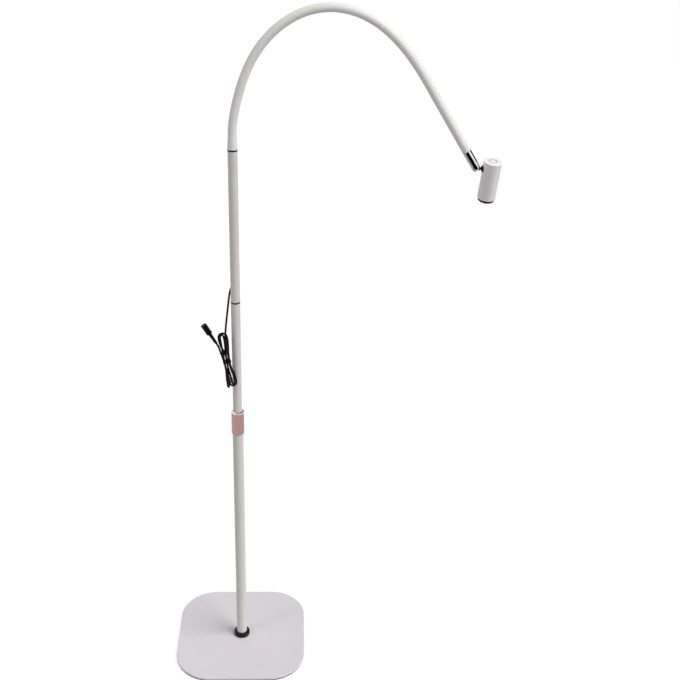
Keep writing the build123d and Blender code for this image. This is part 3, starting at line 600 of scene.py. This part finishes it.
# %% Rose gold with a bright shoulder
# Anodised aluminium, dyed rose gold: a satin grip. Its shoulder is turned bright after the dye, so
# it is smoother above a height; its paler colour there is a painted highlight for its reflection.
rose_colour, painted_highlight_colour = "#B08C88", "#EAD6D2"
shoulder_height, shoulder_blend = 4.5 * MM, 0.8 * MM
shoulder_roughness = 0.3
rose_gold = turned_metal(
    "rose_gold_anodised_aluminium", rose_colour,
    groove_mm=1.0, groove_height_mm=0.002, roughness=0.30, along=up_axis,
)
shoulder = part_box("twist_collar")[1][2] - shoulder_height
tree = rose_gold.node_tree
shader = tree.nodes["Principled BSDF"]
place = add(tree, "ShaderNodeTexCoord").outputs["Object"]
level = add(tree, "ShaderNodeSeparateXYZ", {"Vector": place}).outputs["Z"]
bright = add(
    tree,
    "ShaderNodeMapRange",
    {"Value": level, "From Min": shoulder, "From Max": shoulder + shoulder_blend},
).outputs["Result"]
# Above the shoulder the colour turns paler: a painted highlight, not the metal's own tone.
tone = add(
    tree,
    "ShaderNodeMix",
    {MIX_SHARE: bright, MIX_A: linear(rose_colour), MIX_B: linear(painted_highlight_colour)},
    data_type="RGBA",
)
tree.links.new(tone.outputs[MIX_OUT], shader.inputs["Base Color"])
satin = shader.inputs["Roughness"].links[0].from_socket
kept = add(
    tree,
    "ShaderNodeMapRange",
    {"Value": bright, "To Min": 1.0, "To Max": shoulder_roughness},
).outputs["Result"]
gloss = add(tree, "ShaderNodeMath", {0: satin, 1: kept}, operation="MULTIPLY")
tree.links.new(gloss.outputs["Value"], shader.inputs["Roughness"])
print("collar turns bright at", round(shoulder / MM, 1), "mm")

# %% Chrome and steel
tip_along = np.array(joints["cup_swivel"]["axis"])
# Chromium plate over brass, a mirror.
chrome = turned_metal(
    "chromium_plate", "#E9E9EB",
    groove_mm=1.5, groove_height_mm=0.0005, roughness=0.06, along=tip_along,
)
# Plain turned steel of the inner pieces.
plain_steel = turned_metal(
    "turned_steel", "#B4B4B6",
    groove_mm=0.8, groove_height_mm=0.002, roughness=0.30, along=up_axis,
)
print("cup's grooves lie across", np.round(tip_along, 3))

# %% [markdown]
# ## Inner pieces
# Most inner pieces are seen only when the lamp is taken apart. They still get a finish each, from
# the same two functions, so that every piece can be used by itself.

# %% Finishes of the inner plastics and boards
# Moulded nylon of the plugs and the switch: a dull dark grey.
inner_plastic = coat(
    "moulded_nylon", "#2A2A2C", "#333336",
    cloud_mm=10, grain_mm=0.9, grain_height_mm=0.008, roughness=0.55, spread=0.05,
)
# Solder mask: lacquer over a board, green on glass fibre and white under the LED.
solder_mask = coat(
    "green_solder_mask", "#1C4A2E", "#235737",
    cloud_mm=6, grain_mm=0.5, grain_height_mm=0.004, roughness=0.35, spread=0.05,
)
white_mask = coat(
    "white_solder_mask", "#DEDEDA", "#E8E8E4",
    cloud_mm=6, grain_mm=0.5, grain_height_mm=0.004, roughness=0.40, spread=0.05,
)
# Dyed PVC of the wire: red, with the soft sheen of the extruder.
red_pvc = coat(
    "red_wire_pvc", "#8E1F1C", "#9C2622",
    cloud_mm=6, grain_mm=0.8, grain_height_mm=0.006, roughness=0.45, spread=0.05,
)
print("inner finishes:", inner_plastic.name, solder_mask.name, white_mask.name, red_pvc.name)

# %% Finishes of the contacts, the reflector, the lens and the LED
# Turned brass of the contacts: pale gold and bright.
brass = turned_metal(
    "bright_brass", "#D8C79A",
    groove_mm=0.6, groove_height_mm=0.001, roughness=0.22, along=up_axis,
)
# Aluminium vapour on the reflector's plastic: a clean mirror.
vacuum_mirror = turned_metal(
    "aluminised_plastic", "#EDEDEF",
    groove_mm=1.2, groove_height_mm=0.0003, roughness=0.05, along=up_axis,
)
# Polished PMMA of the lens: clear, with the index of acrylic.
clear_pmma = coat(
    "clear_pmma", "#F2F4F8", "#F7F8FA",
    cloud_mm=15, grain_mm=1.0, grain_height_mm=0.001, roughness=0.04, spread=0.02,
    Transmission_Weight=1.0, IOR=1.49,
)
# Silicone over the LED: cloudy and pale yellow.
led_silicone = coat(
    "led_silicone", "#D8D6B8", "#E2E0C4",
    cloud_mm=2, grain_mm=0.4, grain_height_mm=0.002, roughness=0.18, spread=0.03,
    Transmission_Weight=0.4,
)
print("finishes", len(bpy.data.materials))

# %% A finish for every solid
finish_of_slot = {
    "white_enamel": tube_coat,
    "dark_rubber": foam_rubber,
    "black_plastic": black_abs,
    "steel": plain_steel,
    "inner_plastic": inner_plastic,
    "inner_aluminium": plain_steel,
    "rose_gold": rose_gold,
    "white_pvc": pvc_sleeve,
    "wire_sheath": red_pvc,
    "chrome": chrome,
    "black_metal": black_steel,
    "white_shell": painted_abs,
    "button_white": painted_abs,
    "board_green": solder_mask,
    "board_metal": white_mask,
    "switch_black": inner_plastic,
    "led": led_silicone,
    "mirror_plastic": vacuum_mirror,
    "clear_glass": clear_pmma,
    "dark_bezel": dark_bezel,
    "cord_black": black_pvc,
    "tie_black": black_pvc,
    "contact_metal": brass,
}
# Some solids share a slot with pieces of another finish.
finish_of_node = {
    "base_plate": plate_coat,
    "neck_root": pvc_sleeve,
    "pivot_ball": black_steel,
    "ball_stud": black_steel,
}
for node, solid in nodes.items():
    solid.data.materials.clear()
    solid.data.materials.append(finish_of_node.get(node, finish_of_slot[slot_of[node]]))
cord.data.materials.append(black_pvc)
print("finished solids", len(nodes))

# %% [markdown]
# ## The gooseneck's sleeve
# The arm bends along its whole length, so one stiff tube would tear at the poses. It is thirteen
# short tubes end to end, and a straight one at the tip. Each short one is an arc between the
# middles of two neighbouring links. It turns smoothly from the one link to the other, so that the
# joins keep a common direction.

# %% Middles of the links
neck_count = 13
link_numbers = range(1, neck_count + 1)
pivots = np.array([joints[f"neck_bend_{number:02d}"]["pos_m"] for number in link_numbers])
half_link = np.linalg.norm(pivots[1] - pivots[0]) / 2
links = np.vstack([up_axis, [unit(step) for step in np.diff(pivots, axis=0)], tip_along])
middles = np.vstack([pivots[0] - half_link * up_axis, pivots + half_link * links[1:]])
arm_bodies = ["mast"] + [f"neck_{number:02d}" for number in link_numbers]
print("half link", round(half_link / MM, 2), "arm starts at", np.round(middles[0] / MM, 1))

# %% Tubes that bend with the arm
bend_axis = np.array([0.0, 1.0, 0.0])
sleeve_radius = 8.0 * MM
sleeve_bore = 6.3 * MM
sleeve_steps = 72


def tube(name, path, inward):
    """Tube wall along a path: p + r * (cos t * inward + sin t * Y), for two radii r."""
    angle = np.linspace(0, 2 * math.pi, sleeve_steps, endpoint=False)[None, :, None]
    ring = np.cos(angle) * inward[:, None] + np.sin(angle) * bend_axis
    outer = path[:, None] + sleeve_radius * ring
    inner = path[:, None] + sleeve_bore * ring
    return surface(name, np.concatenate([outer, inner[::-1]]))


def bend_for(piece, node, material):
    """Give a piece its finish, bake its place into its mesh and hide the solid it stands for."""
    piece.data.materials.append(material)
    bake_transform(piece)
    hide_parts(node)


print("sleeve wall", round((sleeve_radius - sleeve_bore) / MM, 2), "mm")

# %% Thirteen arcs and a straight end
arc_rows = 13
arm_paths = []
for number in link_numbers:
    along, onward = links[number - 1], links[number]
    bend = math.acos(np.clip(along @ onward, -1, 1))
    inward = unit(onward - (onward @ along) * along)
    reach = half_link / math.tan(bend / 2)
    angle = np.linspace(0, bend, arc_rows)[:, None]
    centre = middles[number - 1] + reach * inward
    path = centre + reach * (np.sin(angle) * along - np.cos(angle) * inward)
    arm_paths.append(path)
    piece = tube(f"sleeve_{number:02d}", path, np.cos(angle) * inward - np.sin(angle) * along)
    bend_for(piece, "neck_sleeve", pvc_sleeve)

sleeve_end = pivots[-1] + span("neck_sleeve", pivots[-1], tip_along).high * tip_along
path = np.linspace(middles[-1], sleeve_end, arc_rows)
inward = np.tile(unit(np.cross(bend_axis, tip_along)), (arc_rows, 1))
stand_for(tube("sleeve_end", path, inward), "neck_sleeve", pvc_sleeve, arm_bodies[-1])
print("sleeve ends at", np.round(sleeve_end / MM, 1))

# %% [markdown]
# ## The wire in the arm
# A thin red wire runs from the grommet up through the arm. It is soft, so it is cut at the same
# places as the sleeve and follows its curve. Its foot turns a tight quarter circle from the grommet
# into the pole.

# %% Wire's foot
wire_radius = 1.0 * MM
wire_turn = 5.0 * MM
wire_inset = 6.05 * MM
quarter_rows, end_rows = 9, 5
wire_steps = 24


def wire(name, path, sideways):
    """Round wire along a path: p + r * (cos t * s + sin t * (s x tangent)), with closed ends."""
    tangent = np.gradient(path, axis=0)
    tangent = tangent / np.linalg.norm(tangent, axis=1, keepdims=True)
    angle = np.linspace(0, 2 * math.pi, wire_steps, endpoint=False)[None, :, None]
    ring = np.cos(angle) * sideways + np.sin(angle) * np.cross(sideways, tangent)[:, None]
    skin = path[:, None] + wire_radius * ring
    ends = [np.repeat(path[place][None, None], wire_steps, axis=1) for place in (0, -1)]
    return surface(name, np.concatenate([ends[0], skin, ends[1]]), closed_rows=False)


angle = np.linspace(0, math.pi / 2, quarter_rows)[:, None]
corner = gland_middle * MM
quarter = corner + wire_turn * (gland_out * (1 - np.sin(angle)) + up_axis * (1 - np.cos(angle)))
foot = np.vstack([corner + wire_inset * gland_out, quarter, middles[0]])
piece = wire("wire_foot", foot, np.cross(up_axis, gland_out))
stand_for(piece, "inner_wire", red_pvc)
print("wire starts at", np.round(foot[0] / MM, 1))

# %% Wire along the arm
for number, path in zip(link_numbers, arm_paths):
    piece = wire(f"wire_{number:02d}", path, bend_axis)
    bend_for(piece, "inner_wire", red_pvc)
wire_end = pivots[-1] + span("inner_wire", pivots[-1], tip_along).high * tip_along
piece = wire("wire_end", np.linspace(middles[-1], wire_end, end_rows), bend_axis)
stand_for(piece, "inner_wire", red_pvc, arm_bodies[-1])
print("wire ends at", np.round(wire_end / MM, 1))

# %% [markdown]
# ## The non-slip pad
# Foam under a steel plate spreads a little, so the pad's edge is a soft bulge. A bevel would round
# its two edges and leave a flat between them. So the pad is a stack of rounded squares, drawn in
# along a half wave, and closed to a point in the middle of its top and its floor.

# %% Pad
base_corner = 78.0 * MM
bulge = 0.5 * MM
bulge_rows, corner_steps = 9, 24


def rounded_square(half, corner):
    """Square with round corners: each centre at half - corner, plus corner * (cos t, sin t)."""
    quarter = np.linspace(0, math.pi / 2, corner_steps)
    turns = np.arange(4)[:, None] * math.pi / 2
    angle = (quarter + turns).ravel()
    middle = np.repeat(turns + math.pi / 4, corner_steps, axis=1).ravel()
    reach = (half - corner) * math.sqrt(2)
    x = reach * np.cos(middle) + corner * np.cos(angle)
    y = reach * np.sin(middle) + corner * np.sin(angle)
    return np.stack([x, y, np.zeros(len(angle))], axis=1)


pad_low, pad_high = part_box("base_pad")
half = pad_high[0]
corner = base_corner - (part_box("base_plate")[1][0] - half)
thickness = pad_high[2] - pad_low[2]
rise = np.linspace(0, math.pi, bulge_rows)
draw_in = np.concatenate([[half], bulge * (1 - np.sin(rise)), [half]])
level = pad_low[2] + thickness * np.concatenate([[0], (1 - np.cos(rise)) / 2, [1]])
rows = [
    rounded_square(half - inset, max(corner - inset, 0)) + height * up_axis
    for inset, height in zip(draw_in, level)
]
stand_for(surface("foam_pad", np.stack(rows), closed_rows=False), "base_pad", foam_rubber)
print("pad", round(2 * half / MM, 1), "mm wide")

# %% [markdown]
# ## Rings at the tube joints
# Two black washers show as thin lines where the pole's tubes screw together. As plain solids their
# edges are sharp. Turned from a profile, the outer edges are eased as a moulded washer's are.

# %% Rings
ring_edge = 0.35 * MM
for node in ("joint_ring_lower", "joint_ring_upper"):
    ring = span(node, pole_foot, up_axis)
    corners = [
        (ring.outside, ring.low),
        (ring.outside, ring.high),
        (ring.bore, ring.high),
        (ring.bore, ring.low),
    ]
    profile = rounded(corners, [ring_edge, ring_edge, 0, 0])
    stand_for(turned(f"{node}_turned", profile, pole_foot, up_axis), node, black_abs)
    print(node, round(2 * ring.outside / MM, 1), "mm across")

# %% [markdown]
# ## The push button
# The push button fills the middle of the head's cap. Its rim is eased, and a narrow groove parts
# it from the cap. Below the cap a flange keeps it in, and a post reaches the switch. The head
# leans, so its axis is found first, and the button's profile is turned about it.

# %% Axis of the head
head_along = -np.array(joints["button_press"]["axis"])
stud_along = np.array(joints["head_roll"]["axis"])
head_side = np.cross(head_along, stud_along)


def axis_point(node):
    """A point on the head's axis: the middle of a round solid's reach along and across the stud."""
    reaches = [(way, points_of(node) @ way) for way in (stud_along, head_side)]
    return sum((reach.min() + reach.max()) / 2 * way for way, reach in reaches)


head_origin = axis_point("power_button")
print("head axis passes", np.round(head_origin / MM, 2))

# %% Button
button_radius, flange_radius, post_radius = 7.85 * MM, 9.65 * MM, 1.6 * MM
button_rim = 0.6 * MM
button_edge = 0.2 * button_rim
flange_below, flange_height = 3.7 * MM, 1.2 * MM
button = span("power_button", head_origin, head_along)
flange_top = button.high - flange_below
flange_floor = flange_top - flange_height
corners = [
    (0, button.high),
    (button_radius, button.high),
    (button_radius, flange_top),
    (flange_radius, flange_top),
    (flange_radius, flange_floor),
    (post_radius, flange_floor),
    (post_radius, button.low),
    (0, button.low),
]
edges = [0, button_rim, 0, button_edge, button_edge, 0, button_edge, 0]
profile = rounded(corners, edges)
stand_for(turned("push_button", profile, head_origin, head_along), "power_button", painted_abs)
print("button", round(2 * button_radius / MM, 1), "mm across")

# %% [markdown]
# ## The mark
# The mark is the common one for power, an open circle and a bar, printed in grey. It could be a
# pattern in the button's finish, but a thin layer of ink keeps its edges clean at any size.

# %% Mark
mark_radius, mark_half_width, ink = 6.3 * MM, 0.55 * MM, 0.04 * MM
mark_gap = math.radians(70)
circle_rows, bar_rows = 49, 5
bar_start, bar_end = 0.3, 1.08
mark_up = unit(np.array([0.0, 1.0, 0.0]) - head_along[1] * head_along)
mark_right = np.cross(mark_up, head_along)
mark_middle = head_origin + button.high * head_along


def stroke(name, path, sideways):
    """Flat printed line: a path widened by half a width each way and raised by the ink."""
    corners = [(-1, 0), (1, 0), (1, 1), (-1, 1)]
    steps = [(side * mark_half_width * sideways, up * ink * head_along) for side, up in corners]
    grid = np.stack([path + aside + raised for aside, raised in steps], axis=1)
    ends = [np.repeat(grid[place].mean(axis=0)[None, None], 4, axis=1) for place in (0, -1)]
    piece = surface(name, np.concatenate([ends[0], grid, ends[1]]), closed_rows=False)
    piece.data.materials.append(grey_ink)
    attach(piece, nodes["power_button"]["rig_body"])


angle = np.linspace(mark_gap / 2, 2 * math.pi - mark_gap / 2, circle_rows)[:, None]
outward = np.sin(angle) * mark_right + np.cos(angle) * mark_up
stroke("mark_circle", mark_middle + mark_radius * outward, outward)
bar = np.linspace(bar_start, bar_end, bar_rows)[:, None] * mark_radius * mark_up
stroke("mark_bar", mark_middle + bar, mark_right)
print("mark", round(2 * (mark_radius + mark_half_width) / MM, 1), "mm across")

# %% [markdown]
# ## The lens ring
# A dark ring holds the lens in the mouth of the head. It was moulded with a round lower edge, a
# chamfered opening and a spigot that fits in the shell. One turned profile gives all three.

# %% Lens ring
ring_opening, ring_chamfer, ring_height = 12.2 * MM, 1.4 * MM, 5.6 * MM
spigot_radius = 14.75 * MM
bezel = span("lens_bezel", head_origin, head_along)
corners = [
    (ring_opening, bezel.high),
    (spigot_radius, bezel.high),
    (spigot_radius, bezel.low + ring_height),
    (bezel.outside, bezel.low + ring_height),
    (bezel.outside, bezel.low),
    (ring_opening + ring_chamfer, bezel.low),
    (ring_opening, bezel.low + ring_chamfer),
]
edges = np.array([0.2, 0.2, 0, 0.2, 1.6, 0.3, 0.3]) * MM
profile = rounded(corners, edges)
stand_for(turned("lens_ring", profile, head_origin, head_along), "lens_bezel", dark_bezel)
print("lens ring", round(2 * bezel.outside / MM, 1), "mm across")

# %% [markdown]
# ## The inline socket
# The cord ends in a moulded socket for a round plug. Its neck is cut by grooves so that it can
# bend, and a raised collar stands round its mouth. All of it is round, so one profile holds the
# grooves, the collar and the bore.

# %% Grooves of the socket's neck
socket_neck, socket_shoulder = 21.0 * MM, 2.0 * MM
neck_radii = np.array([2.9, 3.5]) * MM
groove_count, groove_width, groove_depth = 5, 1.2 * MM, 0.55 * MM
groove_first, groove_last = 0.22, 0.82
grooves = []
for place in np.linspace(groove_first, groove_last, groove_count) * socket_neck:
    skin = np.interp(place, [0, socket_neck], neck_radii)
    edge = groove_width / 2
    grooves += [(skin, place - edge), (skin - groove_depth, place - edge / 2)]
    grooves += [(skin - groove_depth, place + edge / 2), (skin, place + edge)]
print("grooves", groove_count, "with", len(grooves), "corners")

# %% Socket
socket_bore, bore_depth = 2.8 * MM, 10.0 * MM
collar_depth, collar_start, collar_end = 0.35 * MM, 13.5 * MM, 15.0 * MM
groove_edge = 0.12
socket_origin = route[-1]
body = span("socket_body", socket_origin, socket_along)
corners = [
    (0, 0),
    (neck_radii[0], 0),
    *grooves,
    (neck_radii[1], socket_neck),
    (body.outside, socket_neck + socket_shoulder),
    (body.outside, body.high - collar_end),
    (body.outside - collar_depth, body.high - collar_end),
    (body.outside - collar_depth, body.high - collar_start),
    (body.outside, body.high - collar_start),
    (body.outside, body.high),
    (socket_bore, body.high),
    (socket_bore, body.high - bore_depth),
    (0, body.high - bore_depth),
]
edges = [0, 0.3] + [groove_edge] * len(grooves) + [0.3, 0.6, 0.1, 0.1, 0.1, 0.1, 0.7, 0.4, 0, 0]
profile = rounded(corners, np.array(edges) * MM)
socket = turned("inline_socket", profile, socket_origin, socket_along)
stand_for(socket, "socket_body", black_pvc)
print("socket", round(body.high / MM, 1), "mm long")

# %% [markdown]
# ## Light and floor
# The photograph has a white ground, a soft key from the upper right and an even fill. More light
# would whiten the ground, but it would bleach the lamp too. So the world lights the lamp at less
# than half strength, but shows as plain white to the camera and in reflections. The floor does the
# same and keeps a faint shadow.

# %% World
white = (1, 1, 1, 1)
fill_level = 0.36


def seen_directly(tree):
    """1 for rays from the camera, mirrors and clear pieces, 0 for light that falls on things."""
    path = add(tree, "ShaderNodeLightPath")
    seen = path.outputs["Is Camera Ray"]
    for kind in ("Is Glossy Ray", "Is Transmission Ray"):
        either = add(tree, "ShaderNodeMath", {0: seen, 1: path.outputs[kind]}, operation="MAXIMUM")
        seen = either.outputs["Value"]
    return seen


world = bpy.data.worlds.new("studio")
world.use_nodes = True
bpy.context.scene.world = world
tree = world.node_tree
sky = tree.nodes["Background"]
strength = add(
    tree,
    "ShaderNodeMapRange",
    {"Value": seen_directly(tree), "To Min": fill_level, "To Max": 1.0},
)
tree.links.new(strength.outputs["Result"], sky.inputs["Strength"])
sky.inputs["Color"].default_value = white
print("the world lights at", fill_level)

# %% Key light and its weak partner
# A sun of this level lights a white sheet that faces it to that share of white.
key_level, key_spread, key_from = 0.66, 42, (0.63, -0.30, 0.72)
streak_level, streak_spread, streak_from = 0.07, 12, (-0.62, -0.40, 0.75)


def sun(name, level, spread, toward):
    """Soft sun: light from one direction, as wide as the given angle in degrees."""
    lamp = show(name, bpy.data.lights.new(name, "SUN"))
    lamp.data.energy = level * math.pi
    lamp.data.angle = math.radians(spread)
    back = unit(toward)
    side = unit(np.cross(up_axis, back))
    lamp.matrix_world = placed(side, np.cross(back, side), back, np.zeros(3))


sun("key", key_level, key_spread, key_from)
sun("streak", streak_level, streak_spread, streak_from)
print("key", key_level, "streak", streak_level)

# %% [markdown]
# ## Cards and floor
# Polished metal shows the room, and a room of plain white leaves chrome without a shape. Four cards
# stand for the room's darker parts, as in a photographer's studio. Only reflections see them.

# %% Sheets of paper
paper_roughness = 0.9


def matt_paper(name, grey):
    """Paper of one grey with no mirror share, together with its node tree and its shader."""
    tone = (grey, grey, grey, 1)
    return plain_finish(
        name, Base_Color=tone, Roughness=paper_roughness, Specular_IOR_Level=0.0
    )


def flat_sheet(name, low, high, paper):
    """Rectangle between two opposite corners that share one coordinate."""
    corners = np.array([low, low, high, high], float)
    first = np.flatnonzero(corners[0] != corners[2])[0]
    corners[[1, 3], first] = high[first], low[first]
    mesh = bpy.data.meshes.new(name)
    mesh.from_pydata(corners.tolist(), [], [[0, 1, 2, 3]])
    mesh.materials.append(paper)
    sheet = show(name, mesh)
    return sheet


print("paper's roughness", paper_roughness)

# %% Cards
# Grey, then two opposite corners in metres. The dark ones give the cup its black bands.
cards = {
    "front_card": (0.004, (-0.6, -0.45, 0.6), (1.1, -0.45, 1.14)),
    "side_card": (0.004, (1.3, 0.0, 0.5), (1.3, 3.0, 1.6)),
    "near_card": (0.35, (0.05, -0.32, 0.75), (0.45, -0.05, 0.75)),
    "under_card": (0.55, (0.05, -0.05, 0.75), (0.45, 1.5, 0.75)),
}
for name, (grey, low, high) in cards.items():
    sheet = flat_sheet(name, low, high, matt_paper(f"{name}_paper", grey)[0])
    sheet.visible_camera = False
    sheet.visible_diffuse = False
    sheet.visible_shadow = False
    sheet.visible_transmission = False
print("cards", len(cards))

# %% Floor
floor_half = 6.0
floor_grey = 0.25
floor_glow, floor_white = 0.14, 0.82
floor_paper, tree, shader = matt_paper("white_paper", floor_grey)
shader.inputs["Emission Color"].default_value = white
glow = add(
    tree,
    "ShaderNodeMapRange",
    {"Value": seen_directly(tree), "To Min": floor_glow, "To Max": floor_white},
)
tree.links.new(glow.outputs["Result"], shader.inputs["Emission Strength"])
flat_sheet("floor", (-floor_half, -floor_half, 0), (floor_half, floor_half, 0), floor_paper)
print("floor", 2 * floor_half, "m wide")
